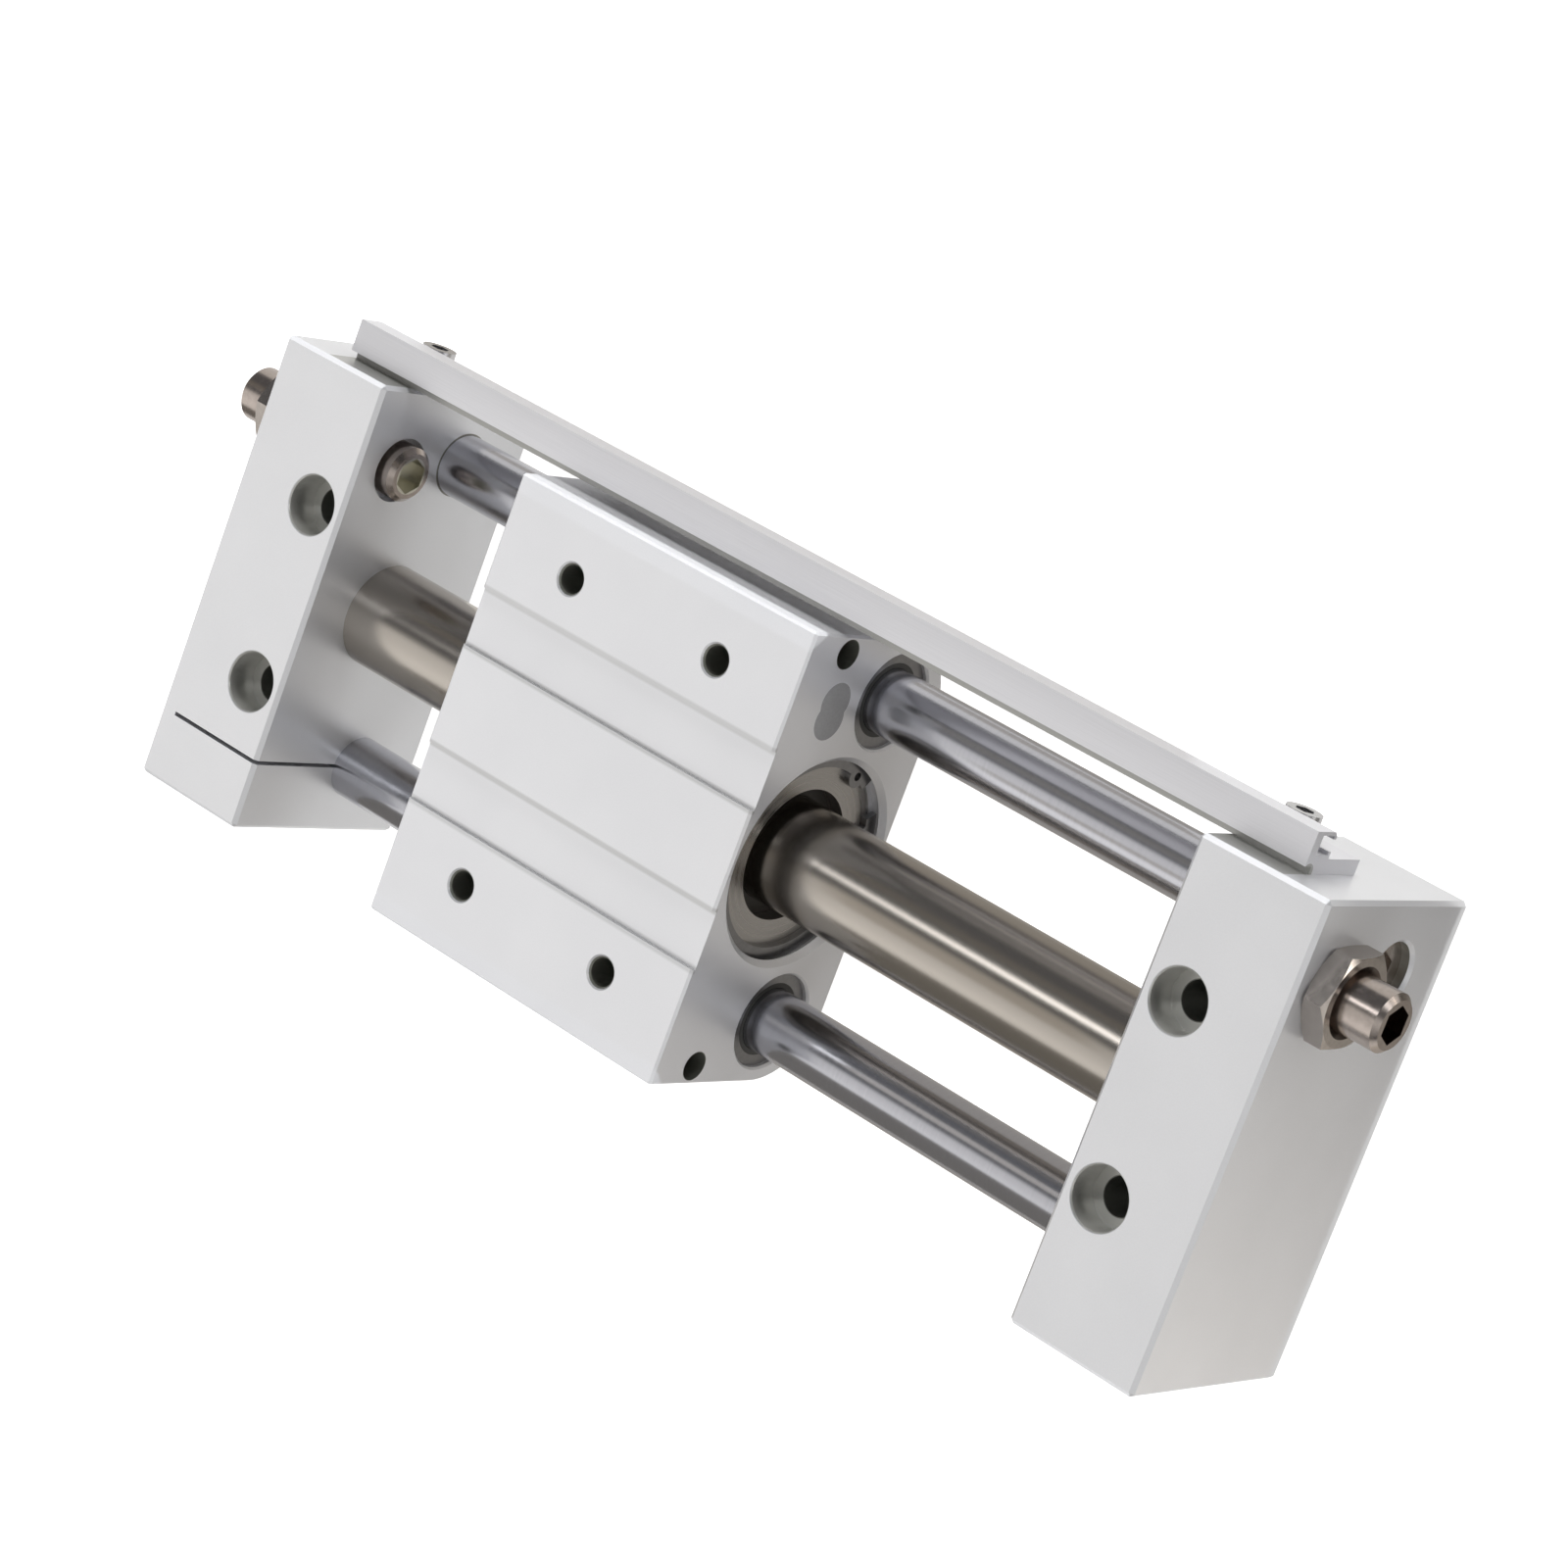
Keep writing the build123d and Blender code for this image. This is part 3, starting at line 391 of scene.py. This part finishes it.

# %% [markdown]
# ## Laying the shades on
#
# A mask is used in two ways. Mostly it mixes a tone over the colour that the pattern gave, which is painted
# shade everywhere except on one pale socket. On the long upper edges it paints a highlight instead, by
# lowering the share of mirror: blasting rounds such an edge, so it catches light from every side and looks
# white, which a flat chamfer with a plain mirror would not.

# %% Tones over a finish
def overlay(shader_tree, shader, mask, hex_colour, share=1.0):
    """Lays a tone over the finish where the mask is one."""
    under = shader.inputs["Base Color"].links[0].from_socket
    part = add_node(shader_tree, "ShaderNodeMath", {0: mask, 1: share}, operation="MULTIPLY")
    tones = {"Factor": part.outputs["Value"], "A": under, "B": linear(hex_colour)}
    mixed = add_node(shader_tree, "ShaderNodeMix", tones, data_type="RGBA")
    shader_tree.links.new(mixed.outputs["Result"], shader.inputs["Base Color"])


def paint_bore_shades(shader_tree, shader, bore_shades):
    """Lays each bore's tone over its walls: painted shade, except for one socket, which gets a pale tone.
    """
    for bore_tone, *bore in bore_shades:
        overlay(shader_tree, shader, bore_mask(shader_tree, *bore), bore_tone)


def paint_edge_highlights(shader_tree, shader, metallic, start_mm, full_mm):
    """Paints a highlight on both long upper edges by taking the mirror away where width and height together
    pass a sum.
    """
    parts = add_node(shader_tree, "ShaderNodeSeparateXYZ", {"Vector": object_space(shader_tree)})
    off = add_node(shader_tree, "ShaderNodeMath", {0: parts.outputs["Y"]}, operation="ABSOLUTE")
    reach = {0: off.outputs["Value"], 1: parts.outputs["Z"]}
    total = add_node(shader_tree, "ShaderNodeMath", reach, operation="ADD")
    fall = {"Value": total.outputs["Value"], "From Min": start_mm * MM, "From Max": full_mm * MM}
    mirror = add_node(shader_tree, "ShaderNodeMapRange", {**fall, "To Min": metallic, "To Max": 0.0})
    shader_tree.links.new(mirror.outputs["Result"], shader.inputs["Metallic"])


print("a tone is laid on by", overlay.__name__)

# %% [markdown]
# ## Bead blasted, anodised aluminium
#
# The end plates and the slide block are milled from bar, blasted with fine beads and clear anodised.
# That gives a soft, even, slightly sparkling grey with no mill marks. The anodic layer is clear but dull,
# so the metal mirrors only in part. The blast pits are about a tenth of a millimetre across, too fine to
# see from a metre, so the grain is drawn three times as coarse.

# %% Blasted aluminium
SATIN = (0.26, 0.36)
BLAST_GRAIN = 0.35
BLAST_CLOUD = 22.0
BLAST_DEPTH = 0.012
BLAST_MIRROR = 0.62
GRAIN_SHARE = 0.45
# Painted shade along the corners of the block's grooves
CORNER_SHADE_TONE = "#9C9C98"


def blasted_aluminium(name, dark, light, bore_shades, edge, corners=()):
    finish, shader_tree, shader = new_finish(name, light, BLAST_MIRROR, 0.3)
    # Painted highlight on the long upper edges
    paint_edge_highlights(shader_tree, shader, BLAST_MIRROR, *edge)
    place = object_space(shader_tree)
    fine = {"Vector": place, "Scale": per_metre(BLAST_GRAIN), "Detail": 3.0, "Roughness": 0.6}
    grain = add_node(shader_tree, "ShaderNodeTexNoise", fine)
    wide = {"Vector": place, "Scale": per_metre(BLAST_CLOUD), "Detail": 2.0}
    cloud = add_node(shader_tree, "ShaderNodeTexNoise", wide)
    shares = {"Factor": GRAIN_SHARE, "A": cloud.outputs["Fac"], "B": grain.outputs["Fac"]}
    both = add_node(shader_tree, "ShaderNodeMix", shares, data_type="FLOAT")
    vary(shader_tree, shader, both.outputs["Result"], dark, light, SATIN)
    emboss(shader_tree, shader, grain.outputs["Fac"], BLAST_DEPTH)
    paint_bore_shades(shader_tree, shader, bore_shades)
    # Painted shade along the corners of the grooves
    for y_mm, half_width_mm, over_mm, share in corners:
        strip = line_mask(shader_tree, y_mm, half_width_mm, over_mm)
        overlay(shader_tree, shader, strip, CORNER_SHADE_TONE, share)
    return finish


print("blast grain:", BLAST_GRAIN, "mm")

# %% [markdown]
# ## Anodised extrusion
#
# The switch rail is pressed through a die. Its skin is smoother than the blasted plates, faintly cool,
# and carries hair-fine lines along its length. Noise stretched a hundredfold along X draws them.

# %% Anodised extrusion
DIE_LINE = 0.25
DIE_DEPTH = 0.004
DIE_MIRROR = 0.5
LINE_STRETCH = 0.01


def anodised_extrusion(name, dark, light, seam_shades):
    finish, shader_tree, shader = new_finish(name, light, DIE_MIRROR, 0.3)
    place = object_space(shader_tree, (LINE_STRETCH, 1, 1))
    drawn = {"Vector": place, "Scale": per_metre(DIE_LINE), "Detail": 2.0, "Roughness": 0.5}
    lines = add_node(shader_tree, "ShaderNodeTexNoise", drawn)
    vary(shader_tree, shader, lines.outputs["Fac"], dark, light, SATIN)
    emboss(shader_tree, shader, lines.outputs["Fac"], DIE_DEPTH)
    paint_bore_shades(shader_tree, shader, seam_shades)
    return finish


print("die lines:", DIE_LINE, "mm wide,", round(DIE_LINE / LINE_STRETCH), "mm long")

# %% [markdown]
# ## Drawn stainless tube
#
# The cylinder tube is thin stainless steel, cold drawn and belt polished. It mirrors its surroundings in
# soft streaks, slightly warm against the chromed shafts, with a faint haze along its length.

# %% Stainless tube
POLISH_LINE = 0.2
POLISH_DEPTH = 0.0015
POLISH_STRETCH = 0.04
POLISHED = (0.18, 0.26)
HAZE = 9.0


def drawn_stainless(name, dark, light):
    finish, shader_tree, shader = new_finish(name, light, 1.0, 0.2)
    place = object_space(shader_tree, (POLISH_STRETCH, 1, 1))
    fine = {"Vector": place, "Scale": per_metre(POLISH_LINE), "Detail": 2.0}
    lines = add_node(shader_tree, "ShaderNodeTexNoise", fine)
    wide = {"Vector": place, "Scale": per_metre(HAZE), "Detail": 2.0}
    haze = add_node(shader_tree, "ShaderNodeTexNoise", wide)
    vary(shader_tree, shader, haze.outputs["Fac"], dark, light, POLISHED)
    emboss(shader_tree, shader, lines.outputs["Fac"], POLISH_DEPTH)
    return finish


print("haze on the tube:", HAZE, "mm")

# %% [markdown]
# ## Hard chromed shaft
#
# Guide shafts are hardened, chromed and ground between centres. Grinding leaves rings so fine that they
# only soften the mirror a little, more along the shaft than round it. They are drawn 0.3 mm wide, which
# is wider than they are, or the render wouldn't show them.

# %% Ground chrome
GRIND_RING = 0.3
GRIND_DEPTH = 0.0006
RING_STRETCH = 0.02
GROUND = (0.17, 0.23)


def ground_chrome(name, dark, light):
    finish, shader_tree, shader = new_finish(name, light, 1.0, 0.1)
    place = object_space(shader_tree, (1, RING_STRETCH, RING_STRETCH))
    fine = {"Vector": place, "Scale": per_metre(GRIND_RING), "Detail": 2.0}
    rings = add_node(shader_tree, "ShaderNodeTexNoise", fine)
    vary(shader_tree, shader, rings.outputs["Fac"], dark, light, GROUND)
    emboss(shader_tree, shader, rings.outputs["Fac"], GRIND_DEPTH)
    return finish


print("grinding rings:", GRIND_RING, "mm wide")

# %% [markdown]
# ## Plated fasteners and springs
#
# Bolts, nuts and plugs are nickel plated, which is warmer than chrome and a little uneven at the edges.
# Retaining rings are phosphated spring steel, nearly black. Both are a bright skin that follows a turned
# or stamped surface, so small patches of noise move their tone and gloss.

# %% Plated metals
PLATE_PATCH = 1.6
PLATE_DEPTH = 0.004
PLATED = (0.18, 0.28)


def plated_metal(name, dark, light, rough=PLATED, bore_shades=()):
    finish, shader_tree, shader = new_finish(name, light, 1.0, rough[0])
    spots = {"Vector": object_space(shader_tree), "Scale": per_metre(PLATE_PATCH), "Detail": 3.0}
    patches = add_node(shader_tree, "ShaderNodeTexNoise", spots)
    vary(shader_tree, shader, patches.outputs["Fac"], dark, light, rough)
    emboss(shader_tree, shader, patches.outputs["Fac"], PLATE_DEPTH)
    paint_bore_shades(shader_tree, shader, bore_shades)
    return finish


print("patches in the plating:", PLATE_PATCH, "mm")

# %% [markdown]
# ## Turned rings
#
# Spacers and bearing rings are turned, so a lathe's rings run round the tube's axis on their faces. A ring
# pattern about that axis draws them. They give a fine sheen that turns with the ring. The real pitch of
# the cut, 0.3 mm, is too fine to show from a metre, so the rings are drawn about six times as wide.

# %% Turned metal
TURNING_PITCH = 0.3
TURNING_DEPTH = 0.0006
# The ring pattern turns by 20 radians in one unit, so one ring comes out at 2 pi times the pitch
RADIANS_PER_UNIT = 20
TURNED = (0.26, 0.4)
TUBE_LINE = (0, 0, 30.5)


def turned_metal(name, dark, light):
    finish, shader_tree, shader = new_finish(name, light, 1.0, TURNED[0])
    place = object_space(shader_tree, move_mm=TUBE_LINE)
    cut = {"Vector": place, "Scale": per_metre(TURNING_PITCH) / RADIANS_PER_UNIT}
    wobble = {"Distortion": 0.4, "Detail": 1.0}
    kind = {"wave_type": "RINGS", "rings_direction": "X"}
    rings = add_node(shader_tree, "ShaderNodeTexWave", {**cut, **wobble}, **kind)
    vary(shader_tree, shader, rings.outputs["Fac"], dark, light, TURNED)
    emboss(shader_tree, shader, rings.outputs["Fac"], TURNING_DEPTH)
    return finish


print("turned rings:", round(2 * math.pi * TURNING_PITCH, 1), "mm wide for a pitch of", TURNING_PITCH, "mm")

# %% [markdown]
# ## Rubber and plastics
#
# Seals are matt black nitrile rubber, bearing rings are filled plastic, and the stop pads are grey
# urethane. All three are soft skins whose gloss comes and goes in small patches.

# %% Soft finishes
SKIN_PATCH = 0.6
SKIN_DEPTH = 0.01


def moulded_skin(name, dark, light, rough):
    finish, shader_tree, shader = new_finish(name, light, 0.0, rough[0])
    spots = {"Vector": object_space(shader_tree), "Scale": per_metre(SKIN_PATCH), "Detail": 4.0}
    skin = add_node(shader_tree, "ShaderNodeTexNoise", spots)
    vary(shader_tree, shader, skin.outputs["Fac"], dark, light, rough)
    emboss(shader_tree, shader, skin.outputs["Fac"], SKIN_DEPTH)
    return finish


print("patches on rubber and plastic:", SKIN_PATCH, "mm")

# %% [markdown]
# ## Where the shades lie
#
# These are the places of real bores, sockets and seams on the part, in millimetres, and of the shade
# painted into them. It darkens the foot holes, the shaft bores, the taps and the holes in the block's end,
# the mouth of each lock nut and the outer hexagon sockets, and the seam between plates and rail on both its
# sides.
# The inner socket is painted pale.

# %% Places of the shades
# Each bore's tone, centre, half the spacing of its copies, radius, reach from its centre, and axis
MIDDLE = (0, 0, 0)
SINGLE = (0, 0, 0)
ALONG_X = 0
FOOT_HOLES = (137.0, 23.25, 0)
PLATE_PAINTED_SHADES = [
    # Painted shade in the counterbores, the deep foot holes and the shaft bores
    ("#CACAC6", MIDDLE, FOOT_HOLES, 7.5, 58.0),
    ("#80817C", MIDDLE, FOOT_HOLES, 4.7, 49.8),
    ("#8A8882", (0, 40.5, 21.5), SINGLE, 8.3, 161.1, ALONG_X),
    # Painted shade on the plates' side beside the rail, where the rail shades it
    ("#B4B4B1", (138.2, 58.0, 51.2), SINGLE, 5.0, 10.2, ALONG_X),
    ("#B4B4B1", (-138.2, 58.0, 51.2), SINGLE, 5.0, 10.2, ALONG_X),
]
# Painted shade along the rail's edge in the seam over the plates
RAIL_SEAM_SHADE = [("#ABABA8", (0, 58.6, 47.3), SINGLE, 1.9, 150.0, ALONG_X)]
BLOCK_PAINTED_SHADES = [
    # Painted shade in the taps on the block's top and in the holes in its end
    ("#85867F", (-30.0, 0, 0), (23.5, 39.0, 0), 4.0, 58.1),
    ("#85867F", (-30.0, 0, 0), (0, 51.4, 44.5), 3.7, 54.6, ALONG_X),
]
# Painted shade in the mouth of each lock nut, round the bolt
NUT_MOUTH_SHADE = [("#5F5650", (0, 37.5, 42.5), SINGLE, 8.5, 400.0, ALONG_X)]
# Painted shade in the outer hexagon sockets; the inner socket is painted pale
SOCKETS = [
    ("#75675F", (174.5, 37.5, 42.5), SINGLE, 4.7, 3.8, ALONG_X),
    ("#75675F", (-174.5, 37.5, 42.5), SINGLE, 4.7, 3.8, ALONG_X),
    ("#DAD8CC", (-125.0, 37.5, 42.5), SINGLE, 4.7, 6.0, ALONG_X),
]
# Width and height together at which the painted highlight on an edge starts and is full
PLATE_EDGE_HIGHLIGHT = (114.3, 114.4)
BLOCK_EDGE_HIGHLIGHT = (109.6, 110.4)
# The corners of the block's grooves, where shade is painted: their Y, half width, lowest height and
# strength
BLOCK_CORNER_SHADES = [(12.5, 1.1, 57.2, 0.4), (27.0, 1.2, 57.2, 0.32)]
print("shaded places:", sum(map(len, (PLATE_PAINTED_SHADES, RAIL_SEAM_SHADE, BLOCK_PAINTED_SHADES, NUT_MOUTH_SHADE, SOCKETS))))

# %% [markdown]
# ## Give every solid its finish
#
# The imported record says which finish each node belongs to, so one table from finish to material is
# enough, and no node can be forgotten. A few nodes have a finish of their own: the bolts and nuts, whose
# sockets and mouths carry painted shade, the slide block with painted shade in its groove corners, and the
# zinc plated rail screws, which are cooler than nickel.

# %% Finishes of single nodes
BOLT_TONES = ("#AAA09A", "#C4BAB3")
NICKEL = ("#B3ACA6", "#CCC5BF")
BLOCK_TONES = ("#E1E2E6", "#F1F2F5")

own_finishes = {
    "stop_bolt_left": plated_metal("plated_stop_bolt_left", *BOLT_TONES, bore_shades=SOCKETS),
    "stop_bolt_right": plated_metal("plated_stop_bolt_right", *BOLT_TONES, bore_shades=SOCKETS),
    "lock_nut_left": plated_metal("plated_nut_left_with_painted_shade", *NICKEL, bore_shades=NUT_MOUTH_SHADE),
    "lock_nut_right": plated_metal("plated_nut_right_with_painted_shade", *NICKEL, bore_shades=NUT_MOUTH_SHADE),
    "slide_block": blasted_aluminium("blasted_block", *BLOCK_TONES, BLOCK_PAINTED_SHADES, BLOCK_EDGE_HIGHLIGHT, BLOCK_CORNER_SHADES),
    "rail_screws": plated_metal("zinc_plated_screw", "#C2C2C4", "#D8D8DA"),
}
print("nodes with a finish of their own:", len(own_finishes))

# %% Finishes of the record
PLATE_TONES = ("#DCDDE0", "#ECEDF0")

finishes = {
    "plate_finish": blasted_aluminium("blasted_anodised_aluminium", *PLATE_TONES, PLATE_PAINTED_SHADES, PLATE_EDGE_HIGHLIGHT),
    "rail_finish": anodised_extrusion("anodised_extrusion", "#D8D8DC", "#E5E5E9", RAIL_SEAM_SHADE),
    "tube_finish": drawn_stainless("drawn_stainless_steel", "#AEA8A1", "#C4BEB6"),
    "shaft_finish": ground_chrome("ground_hard_chrome", "#C0C1C8", "#D0D1D8"),
    "fastener_finish": plated_metal("nickel_plated_steel", *NICKEL),
    "ring_steel": plated_metal("spring_steel", "#7F7F81", "#9E9EA0", (0.25, 0.4)),
    "spacer_finish": turned_metal("turned_aluminium", "#B4B2B0", "#BAB8B6"),
    "bush_steel": turned_metal("ground_bearing_steel", "#8E8E8E", "#A5A5A5"),
    "yoke_steel": plated_metal("rolled_yoke_steel", "#6A6A6C", "#7E7E80", (0.3, 0.45)),
    "magnet_nickel": plated_metal("nickel_plated_magnet", "#A8A59D", "#BDBAB2"),
    "seal_rubber": moulded_skin("nitrile_rubber", "#343433", "#464644", (0.45, 0.62)),
    "wear_plastic": moulded_skin("filled_bearing_plastic", "#2A2723", "#3A3631", (0.4, 0.55)),
    "pad_plastic": moulded_skin("urethane_pad", "#8E8E90", "#A6A6A8", (0.3, 0.45)),
}
print("finishes:", len(finishes))

# %% Assign the finishes
for entry in frame["record"]["subparts"]:
    for held in frame["nodes"][entry["node"]].material_slots:
        held.material = own_finishes.get(entry["node"], finishes[entry["material_slot"]])

# %% [markdown]
# ## Settings
#
# Standard shows a colour as it was chosen, with no film look over it.

scene.view_settings.view_transform = "Standard"
